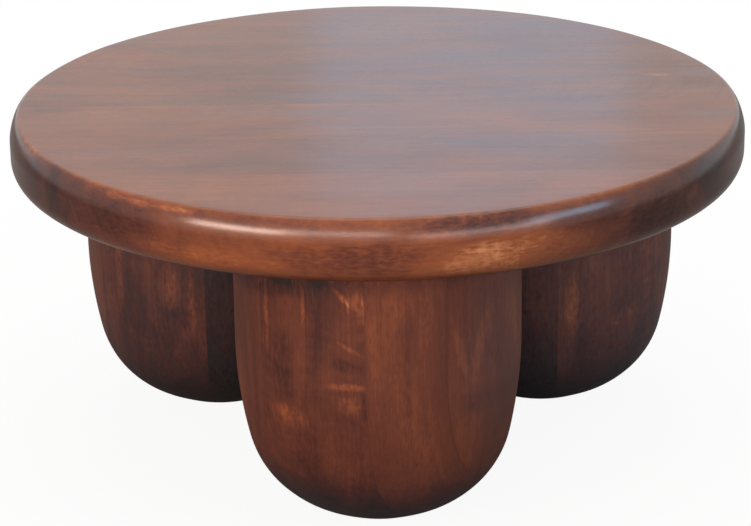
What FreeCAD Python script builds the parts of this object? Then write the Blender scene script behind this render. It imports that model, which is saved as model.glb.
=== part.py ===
import FreeCAD, Part
import math
import os

# Round coffee table: a thick round top of edge-glued boards on three fat turned legs.
# The origin is on the floor, on the table's axis. +Z is up and the front leg stands towards -Y.

# Overall sizes
TABLE_HEIGHT = 380.0
TOP_DIAMETER = 800.0
TOP_THICKNESS = 72.0

# Rounded edge of the top, as two tangent arcs above the upright rim and two below it
UPPER_LIP_RADIUS = 6.0
UPPER_LIP_TURN = 52.0
UPPER_SIDE_RADIUS = 36.0
LOWER_SIDE_RADIUS = 22.0
LOWER_SIDE_TURN = 52.0
LOWER_BELLY_RADIUS = 44.0

# Glue lines of the top, as distances in front of (-) and behind (+) the table's axis
TOP_SEAMS = (-249.0, -122.0, -9.0, 76.0, 228.0)

# Legs: a straight upper part, a long gentle curve, a tight shoulder and a shallow cone down to the foot
LEG_CIRCLE_RADIUS = 213.0
LEG_DIAMETER = 300.0
LEG_STRAIGHT_END = 194.0
LEG_CURVE_RADIUS = 488.0
LEG_CURVE_TURN = 12.6
LEG_SHOULDER_RADIUS = 107.0
LEG_SHOULDER_TURN = 51.6
FOOT_EDGE_RADIUS = 25.0

# Staves of a leg: parallel upright boards, with the pitch and shift of their glue planes
STAVE_PITCH = 60.0
STAVES_PER_LEG = 6

# Place of each leg round the table, how far its glue planes are turned, and their shift off its axis
LEGS = {
    "front": {"place": -90.0, "turned": -33.0, "shift": 11.0},
    "rear_left": {"place": 150.0, "turned": 0.0, "shift": -8.0},
    "rear_right": {"place": 30.0, "turned": 0.0, "shift": 13.0},
}

# Round plastic glides under the feet, each held by one countersunk wood screw
GLIDE_THICKNESS = 4.0
GLIDE_DIAMETER = 90.0
GLIDE_EDGE_RADIUS = 2.0
SCREW_DIAMETER = 4.0
SCREW_LENGTH = 30.0
SCREW_TIP = 6.0
SCREW_HEAD_DIAMETER = 8.0
SCREW_HEAD_DEPTH = 2.4
SCREW_HEAD_RECESS = 0.6
CROSS_LENGTH = 4.6
CROSS_WIDTH = 1.0
CROSS_DEPTH = 1.3

# M10 hanger bolt: a wood-screw end in the leg and a machine-thread end in the insert
BOLT_DIAMETER = 10.0
BOLT_IN_LEG = 62.0
BOLT_TIP = 10.0
BOLT_IN_INSERT = 24.0
BOLT_END_CHAMFER = 1.2

# Threaded insert, flush with the underside of the top, in a blind hole
INSERT_DIAMETER = 16.0
INSERT_LENGTH = 25.0
INSERT_FLANGE_DIAMETER = 22.0
INSERT_FLANGE_THICKNESS = 2.0
INSERT_HOLE_DEPTH = 30.0

# Heights and lengths that follow from the sizes above
UNDERSIDE_Z = TABLE_HEIGHT - TOP_THICKNESS
TOP_RADIUS = TOP_DIAMETER / 2
LEG_RADIUS = LEG_DIAMETER / 2
BEYOND = 10.0
UP = FreeCAD.Vector(0, 0, 1)


class LatheOutline:
    """A lathe outline of tangent lines and arcs, drawn from the axis out, down and back to the axis."""

    def __init__(self, height):
        self.x = 0.0
        self.z = height
        self.heading = 0.0
        self.edges = []

    def point(self):
        return FreeCAD.Vector(self.x, 0, self.z)

    def straight(self, length):
        """Runs on ahead by a length."""
        start = self.point()
        self.x += length * math.cos(self.heading)
        self.z -= length * math.sin(self.heading)
        self.edges.append(Part.LineSegment(start, self.point()).toShape())

    def corner(self, degrees):
        """Turns on the spot."""
        self.heading += math.radians(degrees)

    def curve(self, radius, degrees):
        """Follows an arc that bends down and then inwards."""
        start = self.point()
        before = self.heading
        centre_x = self.x - radius * math.sin(before)
        centre_z = self.z - radius * math.cos(before)
        stops = []
        for share in (0.5, 1.0):
            angle = before + share * math.radians(degrees)
            stops.append((centre_x + radius * math.sin(angle), centre_z + radius * math.cos(angle)))
        middle = FreeCAD.Vector(stops[0][0], 0, stops[0][1])
        self.x, self.z = stops[1]
        self.heading = before + math.radians(degrees)
        self.edges.append(Part.Arc(start, middle, self.point()).toShape())

    def turned_solid(self):
        """Closes the outline along the axis and turns it into a solid."""
        end = self.point()
        foot = FreeCAD.Vector(0, 0, self.z)
        head = self.edges[0].Vertexes[0].Point
        self.edges.append(Part.LineSegment(end, foot).toShape())
        self.edges.append(Part.LineSegment(foot, head).toShape())
        face = Part.Face(Part.Wire(self.edges))
        return face.revolve(FreeCAD.Vector(0, 0, 0), UP, 360)


def slab(low, high, reach, angle, centre, bottom, top):
    """A block between two upright planes, at offsets low and high along a normal turned by an angle."""
    block = Part.makeBox(high - low, 2 * reach, top - bottom, FreeCAD.Vector(low, -reach, bottom))
    block.rotate(FreeCAD.Vector(0, 0, 0), UP, angle)
    block.translate(centre)
    return block


def one_solid(shape):
    """The one solid that a cut or a union leaves, without seams inside its faces."""
    return shape.removeSplitter().Solids[0]


def leg_centre(leg):
    place = math.radians(leg["place"])
    return FreeCAD.Vector(LEG_CIRCLE_RADIUS * math.cos(place), LEG_CIRCLE_RADIUS * math.sin(place), 0)


def round_top():
    """The whole round top, with an oval rounding above the rim and a wider one below it."""
    lip = math.radians(UPPER_LIP_TURN)
    upper_width = UPPER_LIP_RADIUS * math.sin(lip) + UPPER_SIDE_RADIUS * (1 - math.sin(lip))
    upper_drop = UPPER_LIP_RADIUS * (1 - math.cos(lip)) + UPPER_SIDE_RADIUS * math.cos(lip)
    side = math.radians(LOWER_SIDE_TURN)
    lower_drop = LOWER_SIDE_RADIUS * math.sin(side) + LOWER_BELLY_RADIUS * (1 - math.sin(side))
    outline = LatheOutline(TABLE_HEIGHT)
    outline.straight(TOP_RADIUS - upper_width)
    outline.curve(UPPER_LIP_RADIUS, UPPER_LIP_TURN)
    outline.curve(UPPER_SIDE_RADIUS, 90 - UPPER_LIP_TURN)
    outline.straight(TOP_THICKNESS - upper_drop - lower_drop)
    outline.curve(LOWER_SIDE_RADIUS, LOWER_SIDE_TURN)
    outline.curve(LOWER_BELLY_RADIUS, 90 - LOWER_SIDE_TURN)
    return outline.turned_solid()


def leg_blank():
    """One leg on the origin's axis, from the underside of the top down to its glide."""
    slope = 90 - LEG_CURVE_TURN - LEG_SHOULDER_TURN
    outline = LatheOutline(UNDERSIDE_Z)
    outline.straight(LEG_RADIUS)
    outline.corner(90)
    outline.straight(UNDERSIDE_Z - LEG_STRAIGHT_END)
    outline.curve(LEG_CURVE_RADIUS, LEG_CURVE_TURN)
    outline.curve(LEG_SHOULDER_RADIUS, LEG_SHOULDER_TURN)
    edge_tangent = FOOT_EDGE_RADIUS * math.tan(math.radians(slope / 2))
    cone_length = (outline.z - GLIDE_THICKNESS) / math.sin(math.radians(slope))
    outline.straight(cone_length - edge_tangent)
    outline.curve(FOOT_EDGE_RADIUS, slope)
    return outline.turned_solid()


def bolt(centre):
    """A hanger bolt: pointed wood-screw end down in the leg, chamfered machine end up in the insert."""
    radius = BOLT_DIAMETER / 2
    bottom = UNDERSIDE_Z - BOLT_IN_LEG
    tip = Part.makeCone(0, radius, BOLT_TIP, FreeCAD.Vector(0, 0, bottom))
    shank_length = BOLT_IN_LEG + BOLT_IN_INSERT - BOLT_TIP
    shank = Part.makeCylinder(radius, shank_length, FreeCAD.Vector(0, 0, bottom + BOLT_TIP))
    end = max(shank.Edges, key=lambda edge: edge.CenterOfMass.z)
    shank = shank.makeChamfer(BOLT_END_CHAMFER, [end])
    whole = tip.fuse(shank)
    whole.translate(centre)
    return one_solid(whole)


def insert_body(centre):
    """The outside of a threaded insert: a barrel with a flange flush with the underside."""
    barrel = Part.makeCylinder(INSERT_DIAMETER / 2, INSERT_LENGTH, FreeCAD.Vector(0, 0, UNDERSIDE_Z))
    flange = Part.makeCylinder(
        INSERT_FLANGE_DIAMETER / 2, INSERT_FLANGE_THICKNESS, FreeCAD.Vector(0, 0, UNDERSIDE_Z)
    )
    body = barrel.fuse(flange)
    body.translate(centre)
    return body


def insert(centre):
    """A threaded insert with its bore for the bolt."""
    bore = Part.makeCylinder(BOLT_DIAMETER / 2, INSERT_LENGTH, FreeCAD.Vector(0, 0, UNDERSIDE_Z))
    bore.translate(centre)
    return one_solid(insert_body(centre).cut(bore))


def insert_hole(centre):
    """The blind hole in the top that an insert fills, a little deeper than the insert."""
    hole = Part.makeCylinder(INSERT_DIAMETER / 2, INSERT_HOLE_DEPTH, FreeCAD.Vector(0, 0, UNDERSIDE_Z))
    hole.translate(centre)
    return insert_body(centre).fuse(hole)


def top_boards():
    """The round top, drilled for the inserts and split along its glue lines, from front to rear."""
    top = round_top()
    for leg in LEGS.values():
        top = top.cut(insert_hole(leg_centre(leg)))
    limits = (-TOP_RADIUS - BEYOND,) + TOP_SEAMS + (TOP_RADIUS + BEYOND,)
    boards = {}
    for number, (low, high) in enumerate(zip(limits, limits[1:]), start=1):
        block = slab(low, high, TOP_RADIUS + BEYOND, 90, FreeCAD.Vector(0, 0, 0), UNDERSIDE_Z, TABLE_HEIGHT)
        boards[f"top_board_{number}"] = one_solid(top.common(block))
    return boards


def leg_staves(name, leg):
    """One leg, drilled for its bolt and its glide's screw and split along its glue planes."""
    centre = leg_centre(leg)
    blank = leg_blank()
    blank.translate(centre)
    blank = blank.cut([bolt(centre), screw_body(centre)])
    planes = STAVES_PER_LEG - 1
    seams = [(index - (planes - 1) / 2) * STAVE_PITCH + leg["shift"] for index in range(planes)]
    limits = [-LEG_RADIUS - BEYOND] + seams + [LEG_RADIUS + BEYOND]
    staves = {}
    for number, (low, high) in enumerate(zip(limits, limits[1:]), start=1):
        block = slab(low, high, LEG_RADIUS + BEYOND, leg["turned"], centre, 0, UNDERSIDE_Z)
        staves[f"leg_{name}_stave_{number}"] = one_solid(blank.common(block))
    return staves


def screw_body(centre):
    """The outside of a countersunk wood screw, head down, with its head a little up inside the glide."""
    head_z = SCREW_HEAD_RECESS
    neck_z = head_z + SCREW_HEAD_DEPTH
    tip_z = head_z + SCREW_LENGTH - SCREW_TIP
    radius = SCREW_DIAMETER / 2
    head = Part.makeCone(SCREW_HEAD_DIAMETER / 2, radius, SCREW_HEAD_DEPTH, FreeCAD.Vector(0, 0, head_z))
    shank = Part.makeCylinder(radius, tip_z - neck_z, FreeCAD.Vector(0, 0, neck_z))
    tip = Part.makeCone(radius, 0, SCREW_TIP, FreeCAD.Vector(0, 0, tip_z))
    body = head.fuse([shank, tip])
    body.translate(centre)
    return body


def glide_screw(centre):
    """A glide's screw, with the cross for the driver cut into its head."""
    screw = screw_body(centre)
    for length, width in ((CROSS_LENGTH, CROSS_WIDTH), (CROSS_WIDTH, CROSS_LENGTH)):
        corner = FreeCAD.Vector(-length / 2, -width / 2, SCREW_HEAD_RECESS)
        screw = screw.cut(Part.makeBox(length, width, CROSS_DEPTH, centre + corner))
    return one_solid(screw)


def glide(centre):
    """A round glide with its lower edge rounded, bored and countersunk for its screw."""
    disc = Part.makeCylinder(GLIDE_DIAMETER / 2, GLIDE_THICKNESS)
    circles = [edge for edge in disc.Edges if len(edge.Vertexes) == 1]
    lower_rim = min(circles, key=lambda edge: edge.CenterOfMass.z)
    disc = disc.makeFillet(GLIDE_EDGE_RADIUS, [lower_rim])
    mouth = Part.makeCylinder(SCREW_HEAD_DIAMETER / 2, SCREW_HEAD_RECESS)
    disc = disc.cut(mouth)
    disc.translate(centre)
    return one_solid(disc.cut(screw_body(centre)))


def build():
    """Every piece of the table, by name."""
    pieces = top_boards()
    for name, leg in LEGS.items():
        pieces.update(leg_staves(name, leg))
        pieces[f"glide_{name}"] = glide(leg_centre(leg))
    centres = [leg_centre(leg) for leg in LEGS.values()]
    pieces["threaded_inserts"] = Part.makeCompound([insert(centre) for centre in centres])
    pieces["hanger_bolts"] = Part.makeCompound([bolt(centre) for centre in centres])
    pieces["glide_screws"] = Part.makeCompound([glide_screw(centre) for centre in centres])
    return pieces


os.makedirs("parts", exist_ok=True)
for name, shape in build().items():
    shape.exportStep(f"parts/{name}.step")
    print(name, len(shape.Solids), round(shape.Volume), shape.isValid())
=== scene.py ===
import math

import bpy
from bpy.props import FloatProperty, FloatVectorProperty, IntProperty, PointerProperty
from mathutils import Euler, Matrix, Vector


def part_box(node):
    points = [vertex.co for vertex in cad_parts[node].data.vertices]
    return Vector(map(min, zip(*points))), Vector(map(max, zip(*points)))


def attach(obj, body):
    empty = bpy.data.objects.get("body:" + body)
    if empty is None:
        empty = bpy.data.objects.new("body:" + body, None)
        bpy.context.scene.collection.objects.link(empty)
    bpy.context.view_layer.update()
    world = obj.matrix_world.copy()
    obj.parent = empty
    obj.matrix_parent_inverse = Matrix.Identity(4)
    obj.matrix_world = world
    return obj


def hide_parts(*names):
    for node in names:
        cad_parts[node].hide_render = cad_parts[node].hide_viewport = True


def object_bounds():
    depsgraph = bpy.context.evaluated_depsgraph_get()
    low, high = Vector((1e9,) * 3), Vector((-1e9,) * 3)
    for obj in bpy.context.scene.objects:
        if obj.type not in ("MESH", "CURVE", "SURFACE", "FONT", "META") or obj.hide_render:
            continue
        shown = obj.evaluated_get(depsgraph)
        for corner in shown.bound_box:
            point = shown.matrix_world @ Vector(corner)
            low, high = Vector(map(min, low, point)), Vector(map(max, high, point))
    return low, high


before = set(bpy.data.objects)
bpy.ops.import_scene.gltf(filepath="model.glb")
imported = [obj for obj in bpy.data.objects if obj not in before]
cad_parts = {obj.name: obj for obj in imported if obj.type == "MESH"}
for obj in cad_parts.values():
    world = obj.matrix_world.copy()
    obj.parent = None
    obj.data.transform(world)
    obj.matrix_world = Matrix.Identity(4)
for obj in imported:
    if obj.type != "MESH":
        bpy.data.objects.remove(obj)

bl_info = {
    "name": "Round coffee table",
    "version": (1, 0, 0),
    "blender": (4, 5, 0),
    "location": "3D View > Sidebar > Table",
    "description": "Dresses a round coffee table of edge-glued boards on three turned legs",
    "category": "Object",
}

CAD_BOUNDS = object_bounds()
MM = 0.001

# Blender's noise keeps mostly within this span
NOISE_SPAN = {"From Min": 0.3, "From Max": 0.7}

# Nodes of the frame, by what they are
TOP_BOARDS = sorted(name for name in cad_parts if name.startswith("top_board_"))
LEG_NAMES = ("front", "rear_left", "rear_right")
GLIDES = sorted(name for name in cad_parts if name.startswith("glide_") and name != "glide_screws")
STEEL_PARTS = ("glide_screws", "hanger_bolts", "threaded_inserts")

# Sizes that the frame gives
TABLE_HEIGHT = CAD_BOUNDS[1].z
TOP_RADIUS = CAD_BOUNDS[1].x
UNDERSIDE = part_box("top_board_1")[0].z
GLIDE_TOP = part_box("glide_front")[1].z

# How far each leg's glue planes are turned about its axis, in degrees
LEG_TURNS = {"front": -33.0, "rear_left": 0.0, "rear_right": 0.0}

# The top's glue planes are square to Y
TOP_TURN = 90.0

# A board's own directions: X across the glue planes, Y through the board and Z along the grain
TOP_DIRECTIONS = Matrix(((0, 0, 1), (1, 0, 0), (0, 1, 0)))


def linear(hex_colour):
    """Turns an sRGB hex colour into the linear red, green and blue that shaders take."""
    channels = [int(hex_colour[i:i + 2], 16) / 255 for i in (1, 3, 5)]
    return tuple(c / 12.92 if c <= 0.04045 else ((c + 0.055) / 1.055) ** 2.4 for c in channels)


def add(tree, kind, inputs=(), operation=None, **settings):
    """Adds a node with its settings. Its inputs are listed in order, or given by name or number.

    An input is a value, an output, a node for its first output, or a list of several that are joined.
    """
    node = tree.nodes.new(kind if "Node" in kind else f"ShaderNode{kind}")
    if operation:
        node.operation = operation
    for name, value in settings.items():
        setattr(node, name, value)
    numbered = inputs if isinstance(inputs, dict) else dict(enumerate(inputs))
    for socket, given in numbered.items():
        for value in given if isinstance(given, list) else [given]:
            if isinstance(value, bpy.types.Node):
                value = value.outputs[0]
            if isinstance(value, bpy.types.NodeSocket):
                tree.links.new(value, node.inputs[socket])
            else:
                node.inputs[socket].default_value = value
    return node


def new_group(title, kind, inputs, outputs):
    """Starts a node group. Its sockets are given by their names, each with the kind of value it carries."""
    group = bpy.data.node_groups.new(title, kind)
    for direction, sockets in (("OUTPUT", outputs), ("INPUT", inputs)):
        for name, value_kind in sockets.items():
            group.interface.new_socket(name, in_out=direction, socket_type=f"NodeSocket{value_kind}")
    return group


def empty_tree(owner):
    """Clears the nodes of a material or a world for new ones."""
    owner.use_nodes = True
    owner.node_tree.nodes.clear()
    return owner.node_tree


def add_stretched_noise(tree, place, repeats, inputs):
    """Adds noise that is stretched along an axis. Its repeats per metre are given for each axis."""
    stretched = add(tree, "VectorMath", [place, repeats], "MULTIPLY")
    return add(tree, "TexNoise", {"Vector": stretched, "Scale": 1.0, **inputs})


def add_object(name, data):
    """Puts a new object into the scene."""
    new = bpy.data.objects.new(name, data)
    bpy.context.scene.collection.objects.link(new)
    return new


class TableTopSettings(bpy.types.PropertyGroup):
    """The rounded edge of the top, from its flat face down and round to its underside."""

    lip_radius: FloatProperty(
        name="Lip radius", description="Tight arc next to the flat face", default=6 * MM, unit="LENGTH")
    lip_turn: FloatProperty(
        name="Lip turn", description="How far the tight arc turns", default=math.radians(52), subtype="ANGLE")
    brow_radius: FloatProperty(name="Brow radius", description="Arc below the lip", default=20 * MM, unit="LENGTH")
    brow_turn: FloatProperty(
        name="Brow turn", description="How far that arc turns", default=math.radians(14), subtype="ANGLE")
    side_radius: FloatProperty(
        name="Side radius", description="Wide, nearly flat arc that catches the window", default=62 * MM,
        unit="LENGTH")
    side_turn: FloatProperty(
        name="Side turn", description="How far the wide arc turns", default=math.radians(15), subtype="ANGLE")
    rim_radius: FloatProperty(
        name="Rim radius", description="Arc from there down to the upright rim", default=25 * MM, unit="LENGTH")
    lower_radius: FloatProperty(
        name="Lower radius", description="Arc from the rim down", default=22 * MM, unit="LENGTH")
    lower_turn: FloatProperty(
        name="Lower turn", description="How far that arc turns", default=math.radians(52), subtype="ANGLE")
    belly_radius: FloatProperty(
        name="Belly radius", description="Wide arc in to the underside", default=44 * MM, unit="LENGTH")
    unevenness: FloatProperty(
        name="Unevenness", description="How deep the hand sander dished the surface", default=0.5 * MM,
        unit="LENGTH")
    sides: IntProperty(name="Sides", description="Facets round the rim", default=384, min=24)


class TableLegSettings(bpy.types.PropertyGroup):
    """The turned outline of a leg, from the underside of the top down to the foot."""

    radius: FloatProperty(name="Radius", description="Of the straight upper part", default=150 * MM, unit="LENGTH")
    straight_end: FloatProperty(
        name="Straight end", description="Height at which the sides start to curve in", default=194 * MM,
        unit="LENGTH")
    curve_radius: FloatProperty(name="Curve radius", description="Long gentle curve", default=488 * MM, unit="LENGTH")
    curve_turn: FloatProperty(
        name="Curve turn", description="How far the gentle curve turns", default=math.radians(12.6),
        subtype="ANGLE")
    shoulder_radius: FloatProperty(
        name="Shoulder radius", description="Tighter curve below it", default=107 * MM, unit="LENGTH")
    shoulder_turn: FloatProperty(
        name="Shoulder turn", description="How far the tighter curve turns", default=math.radians(51.6),
        subtype="ANGLE")
    foot_edge: FloatProperty(
        name="Foot edge", description="Small rounding at the flat of the foot", default=25 * MM, unit="LENGTH")
    unevenness: FloatProperty(
        name="Unevenness", description="How deep the hand sander dished the surface", default=0.7 * MM,
        unit="LENGTH")
    sides: IntProperty(name="Sides", description="Facets round the leg", default=192, min=24)


class TableWoodSettings(bpy.types.PropertyGroup):
    """Colours and grain sizes of the stained wood."""

    darkest: FloatVectorProperty(
        name="Darkest stain", description="Colour of pores and of end grain that drank the stain",
        subtype="COLOR", min=0, max=1, default=linear("#211614"))
    dark: FloatVectorProperty(
        name="Dark stain", description="Colour of the late wood",
        subtype="COLOR", min=0, max=1, default=linear("#44231E"))
    middle: FloatVectorProperty(
        name="Middle stain", description="Colour of most of the wood",
        subtype="COLOR", min=0, max=1, default=linear("#68392A"))
    light: FloatVectorProperty(
        name="Light stain", description="Colour of pale streaks that took little stain",
        subtype="COLOR", min=0, max=1, default=linear("#935433"))
    palest: FloatVectorProperty(
        name="Palest wood", description="Colour of rubbed edges and of the flame figure",
        subtype="COLOR", min=0, max=1, default=linear("#C4865C"))
    # Painted sheen: a cool grey mixed into the wood colour, standing in for the surroundings mirrored in the lacquer
    bloom: FloatVectorProperty(
        name="Lacquer bloom", description="Colour of the cool haze where the lacquer lies thick",
        subtype="COLOR", min=0, max=1, default=linear("#5A5F68"))
    ring_spacing: FloatProperty(
        name="Ring spacing", description="Distance between growth rings", default=9 * MM, unit="LENGTH")
    fibre_width: FloatProperty(
        name="Fibre width", description="Width of the fine streaks", default=1.8 * MM, unit="LENGTH")
    pore_length: FloatProperty(
        name="Pore length", description="Length of the dark dashes that open pores leave",
        default=12 * MM, unit="LENGTH")
    glue_line: FloatProperty(
        name="Glue line width", description="Width of the dark line along a glued joint",
        default=0.8 * MM, unit="LENGTH")


class TableStageSettings(bpy.types.PropertyGroup):
    """Light, floor and camera."""

    camera_distance: FloatProperty(
        name="Camera distance", description="From the centre of the top face", default=3.266, unit="LENGTH")
    camera_elevation: FloatProperty(
        name="Camera elevation", description="Angle of the camera above the top face",
        default=math.radians(17.05), subtype="ANGLE")
    lens: FloatProperty(name="Lens", description="Focal length on a 36 mm wide sensor", default=143.2, unit="CAMERA")
    low_level: FloatProperty(
        name="Level at the horizon", description="Light that the surroundings give from the sides", default=0.14,
        subtype="FACTOR")
    high_level: FloatProperty(
        name="Level overhead", description="Light that the surroundings give from above", default=0.70,
        subtype="FACTOR")
    floor_bounce: FloatVectorProperty(
        name="Floor bounce", description="Colour of the floor as it lights the table from below",
        subtype="COLOR", min=0, max=1, default=linear("#242221"))
    floor_colour: FloatVectorProperty(
        name="Floor colour", description="Colour of the floor as the lacquer mirrors it",
        subtype="COLOR", min=0, max=1, default=linear("#A5A19D"))
    shadow_depth: FloatProperty(
        name="Shadow depth", description="How much of the table's shadow the white floor shows", default=0.08,
        subtype="FACTOR", min=0, max=1)


# The lathe outlines, from the axis out, down and back: straight runs, corners in degrees, and arcs that bend
# inwards. The last number is how many steps the mesh takes along each.
TOP_OUTLINE = (
    ("run", "Face Radius", 24),
    ("arc", "Lip", 10),
    ("arc", "Brow", 5),
    ("arc", "Side", 6),
    ("arc", "Rim", 4),
    ("run", "Rim Height", 4),
    ("arc", "Lower", 8),
    ("arc", "Belly", 8),
    ("close", "Underside", 16),
)
LEG_OUTLINE = (
    ("run", "Head Radius", 6),
    ("corner", 90, 0),
    ("run", "Straight Length", 10),
    ("arc", "Curve", 14),
    ("arc", "Shoulder", 18),
    ("run", "Cone Length", 4),
    ("arc", "Foot Edge", 6),
    ("close", "Foot", 4),
)


def follow_outline(tree, given, outline, share):
    """Works out a lathe outline's radius and height where a share of its steps is done."""
    steps = sum(count for kind, name, count in outline)
    done = 0
    heading = 0.0
    radius = 0.0
    height = given["Head Height"]
    for kind, name, count in outline:
        if kind == "corner":
            heading = math.radians(name)
            continue
        part = add(tree, "MapRange", {"Value": share, "From Min": done / steps, "From Max": (done + count) / steps})
        done += count
        if kind == "close":
            left = add(tree, "Math", [1.0, part], "SUBTRACT")
            radius = add(tree, "Math", [radius, left], "MULTIPLY")
            continue
        sine = add(tree, "Math", [heading], "SINE")
        cosine = add(tree, "Math", [heading], "COSINE")
        if kind == "run":
            across, drop, size = cosine, sine, add(tree, "Math", [given[name], part], "MULTIPLY")
        else:
            bend = given[f"{name} Turn"]
            turned = add(tree, "Math", [bend, part, heading], "MULTIPLY_ADD")
            sine_now = add(tree, "Math", [turned], "SINE")
            cosine_now = add(tree, "Math", [turned], "COSINE")
            across = add(tree, "Math", [sine_now, sine], "SUBTRACT")
            drop = add(tree, "Math", [cosine, cosine_now], "SUBTRACT")
            size = given[f"{name} Radius"]
            heading = add(tree, "Math", [heading, bend])
        radius = add(tree, "Math", [across, size, radius], "MULTIPLY_ADD")
        fallen = add(tree, "Math", [drop, size], "MULTIPLY")
        height = add(tree, "Math", [height, fallen], "SUBTRACT")
    return radius, height, steps


def turning_tree(title, outline):
    """Builds the node tree that turns a glued blank on the lathe and keeps one of its boards."""
    names = ["Plane Turn", "Low Plane", "High Plane", "Head Height"]
    for kind, name, count in outline:
        names += {"run": [name], "arc": [f"{name} Radius", f"{name} Turn"]}.get(kind, [])
    names += ["Core Radius", "Core Low", "Core High", "Unevenness", "Dish Size", "Level Below"]
    inputs = {"Centre": "Vector", **dict.fromkeys(names, "Float"), "Sides": "Int", "Material": "Material"}
    tree = new_group(title, "GeometryNodeTree", inputs, {"Geometry": "Geometry"})
    given = add(tree, "NodeGroupInput").outputs
    position = add(tree, "GeometryNodeInputPosition")

    # A square grid is wrapped round the axis, and its seam and poles are closed
    weld = 0.01 * MM
    place = add(tree, "SeparateXYZ", [position])
    round_share = add(tree, "Math", [place.outputs["X"], 0.5])
    angle = add(tree, "Math", [round_share, -2 * math.pi], "MULTIPLY")
    down_share = add(tree, "Math", [place.outputs["Y"], 0.5])
    radius, height, steps = follow_outline(tree, given, outline, down_share)
    cosine = add(tree, "Math", [angle], "COSINE")
    sine = add(tree, "Math", [angle], "SINE")
    x = add(tree, "Math", [radius, cosine], "MULTIPLY")
    y = add(tree, "Math", [radius, sine], "MULTIPLY")
    wrapped = add(tree, "CombineXYZ", {"X": x, "Y": y, "Z": height})
    moved = add(tree, "VectorMath", [wrapped, given["Centre"]])
    columns = add(tree, "FunctionNodeIntegerMath", [given["Sides"], 1])
    grid = add(tree, "GeometryNodeMeshGrid", {
        "Size X": 1.0, "Size Y": 1.0, "Vertices X": columns, "Vertices Y": steps + 1})
    skin = add(tree, "GeometryNodeSetPosition", {"Geometry": grid, "Position": moved})
    blank = add(tree, "GeometryNodeMergeByDistance", {"Geometry": skin, "Distance": weld})

    # A block between the two glue planes, far larger than the blank on its other sides, keeps one board of it
    block_side = 2.0
    width = add(tree, "Math", [given["High Plane"], given["Low Plane"]], "SUBTRACT")
    block_size = add(tree, "CombineXYZ", {"X": width, "Y": block_side, "Z": block_side})
    block = add(tree, "GeometryNodeMeshCube", {"Size": block_size})
    planes = add(tree, "Math", [given["High Plane"], given["Low Plane"]])
    middle = add(tree, "Math", [planes, 0.5], "MULTIPLY")
    aside = add(tree, "CombineXYZ", {"X": middle})
    shifted = add(tree, "GeometryNodeTransform", {"Geometry": block, "Translation": aside})
    upright = add(tree, "CombineXYZ", {"Z": given["Plane Turn"]})
    turn = add(tree, "FunctionNodeEulerToRotation", [upright])
    saw = add(tree, "GeometryNodeTransform", {"Geometry": shifted, "Translation": given["Centre"], "Rotation": turn})
    board = add(tree, "GeometryNodeMeshBoolean", {1: [blank, saw]}, "INTERSECT", solver="MANIFOLD")

    # The hand sander dishes the outside a little, always inwards, towards a core of the blank. The dishes fade out
    # over the last millimetres above a level, below which the piece stays flat.
    fade = 20 * MM
    local = add(tree, "VectorMath", [position, given["Centre"]], "SUBTRACT")
    parts = add(tree, "SeparateXYZ", [local])
    flat = add(tree, "VectorMath", [local, (1.0, 1.0, 0.0)], "MULTIPLY")
    reach = add(tree, "VectorMath", [flat], "LENGTH")
    outward = add(tree, "VectorMath", [flat], "NORMALIZE")
    inside = add(tree, "Math", [reach.outputs["Value"], given["Core Radius"]], "MINIMUM")
    core_flat = add(tree, "VectorMath", {0: outward, "Scale": inside}, "SCALE")
    core_height = add(tree, "Clamp", {
        "Value": parts.outputs["Z"], "Min": given["Core Low"], "Max": given["Core High"]})
    core_up = add(tree, "CombineXYZ", {"Z": core_height})
    core = add(tree, "VectorMath", [core_flat, core_up])
    away = add(tree, "VectorMath", [local, core], "SUBTRACT")
    direction = add(tree, "VectorMath", [away], "NORMALIZE")
    pitch = add(tree, "Math", [1.0, given["Dish Size"]], "DIVIDE")
    dishes = add(tree, "TexNoise", {"Vector": position, "Scale": pitch, "Detail": 1.0})
    depth = add(tree, "MapRange", {"Value": dishes, **NOISE_SPAN, "To Min": -1.0, "To Max": 0.0})
    level_end = add(tree, "Math", [given["Level Below"], fade])
    sanded = add(tree, "MapRange", {
        "Value": parts.outputs["Z"], "From Min": given["Level Below"], "From Max": level_end})
    amount = add(tree, "Math", [depth, sanded], "MULTIPLY")
    push = add(tree, "Math", [amount, given["Unevenness"]], "MULTIPLY")
    offset = add(tree, "VectorMath", {0: direction, "Scale": push}, "SCALE")
    finished = add(tree, "GeometryNodeSetPosition", {"Geometry": board, "Offset": offset})

    # Smooth all over but for the sawn and turned corners
    crease = math.radians(30)
    smooth = add(tree, "GeometryNodeSetShadeSmooth", {"Geometry": finished, "Shade Smooth": True})
    bend_angle = add(tree, "GeometryNodeInputMeshEdgeAngle")
    corner = add(tree, "FunctionNodeCompare", [bend_angle, crease], "GREATER_THAN")
    creased = add(tree, "GeometryNodeSetShadeSmooth", {
        "Geometry": smooth, "Selection": corner, "Shade Smooth": False}, domain="EDGE")
    real = add(tree, "GeometryNodeRealizeInstances", {"Geometry": creased})
    dressed = add(tree, "GeometryNodeSetMaterial", {"Geometry": real, "Material": given["Material"]})
    add(tree, "NodeGroupOutput", [dressed])
    return tree


def make_board(tree, values, node_name):
    """Runs a turning tree, keeps its result as a plain mesh and lets it stand for a node of the frame."""
    piece = add_object(f"finished_{node_name}", bpy.data.meshes.new(f"finished_{node_name}"))
    turning = piece.modifiers.new("Turning", "NODES")
    turning.node_group = tree
    for item in tree.interface.items_tree:
        if item.in_out == "INPUT":
            turning[item.identifier] = values[item.name]
    evaluated = piece.evaluated_get(bpy.context.evaluated_depsgraph_get())
    plain = bpy.data.meshes.new_from_object(evaluated)
    piece.modifiers.clear()
    piece.data = plain
    if not plain.polygons:
        raise RuntimeError(f"{piece.name} came out empty")
    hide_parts(node_name)
    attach(piece, "root")


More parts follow.
